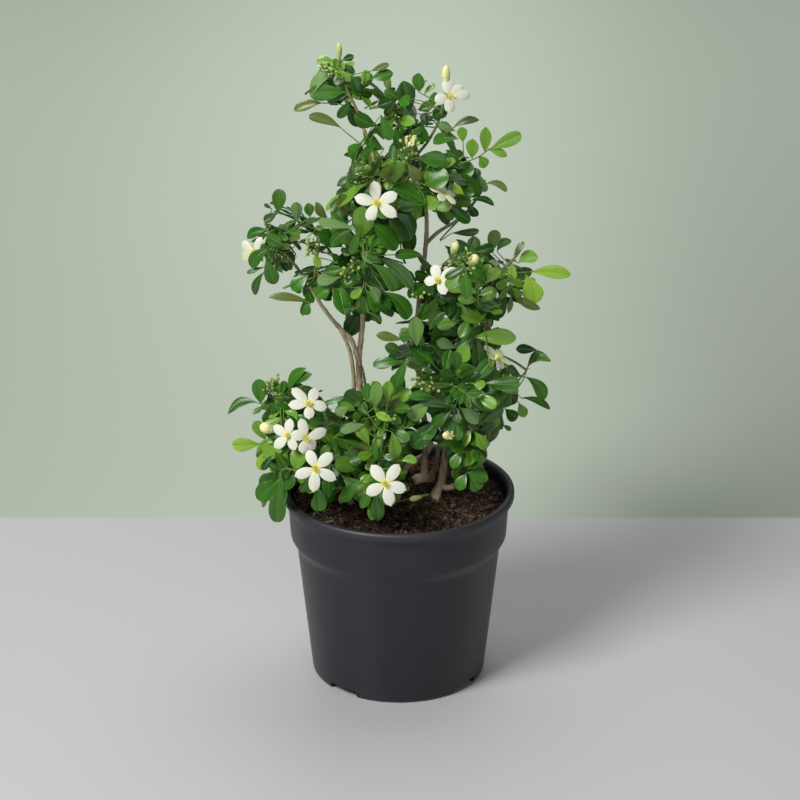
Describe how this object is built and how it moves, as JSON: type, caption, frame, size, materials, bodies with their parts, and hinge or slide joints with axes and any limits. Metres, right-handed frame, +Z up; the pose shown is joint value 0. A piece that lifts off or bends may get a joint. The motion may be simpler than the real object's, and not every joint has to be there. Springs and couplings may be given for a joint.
{
  "type": "potted orange jasmine",
  "caption": "Small flowering shrub with glossy pinnate leaves, white star flowers and woody stems, growing in a round black nursery pot.",
  "frame": {"origin": "middle of the pot's foot, on the surface that the pot stands on", "axes": "+Z up along the pot's axis, -Y towards the side that the picture shows, +X to the right in the picture"},
  "size_m": [0.2532, 0.1754, 0.491],
  "materials": {
    "pot": "satin",
    "soil": "matte",
    "bark": "matte",
    "leaf": "satin",
    "petal": "matte",
    "centre": "matte",
    "bud": "satin"
  },
  "bodies": {
    "root": {"pot": "pot", "soil": "soil", "stem_left": "bark", "stem_right": "bark", "stem_low_right": "bark", "stem_low_left": "bark", "stem_back": "bark", "spray_crown_tip": "leaf", "spray_crown_front_left": "leaf", "spray_crown_top": "leaf", "spray_crown_top_right": "leaf", "spray_crown_right": "leaf", "spray_crown_right_low": "leaf", "spray_crown_front": "leaf", "spray_crown_back": "leaf", "spray_left_up": "leaf", "spray_left_mid": "leaf", "spray_left_inner": "leaf", "spray_left_back": "leaf", "spray_right_out": "leaf", "spray_right_front": "leaf", "spray_right_mid": "leaf", "spray_back_right": "leaf", "spray_low_right_out": "leaf", "spray_low_right_front": "leaf", "spray_low_right_hang": "leaf", "spray_low_left_out": "leaf", "spray_low_left_front": "leaf", "spray_front_low": "leaf", "spray_low_left_back": "leaf", "spray_back_left": "leaf", "spray_centre": "leaf", "flower_1": "petal", "flower_2": "petal", "flower_3": "petal", "flower_4": "petal", "flower_5": "petal", "flower_6": "petal", "flower_7": "petal", "flower_8": "petal", "flower_9": "petal", "flower_10": "petal", "flower_11": "petal", "flower_1_centre": "centre", "flower_2_centre": "centre", "flower_3_centre": "centre", "flower_4_centre": "centre", "flower_5_centre": "centre", "flower_6_centre": "centre", "flower_7_centre": "centre", "flower_8_centre": "centre", "flower_9_centre": "centre", "bud_top": "bud", "bud_crown": "bud", "bud_right": "bud", "bud_right_low": "bud", "bud_low_left": "bud", "bud_low_right": "bud", "bud_by_trunk": "bud", "bud_faded": "bud"}
  },
  "joints": []
}
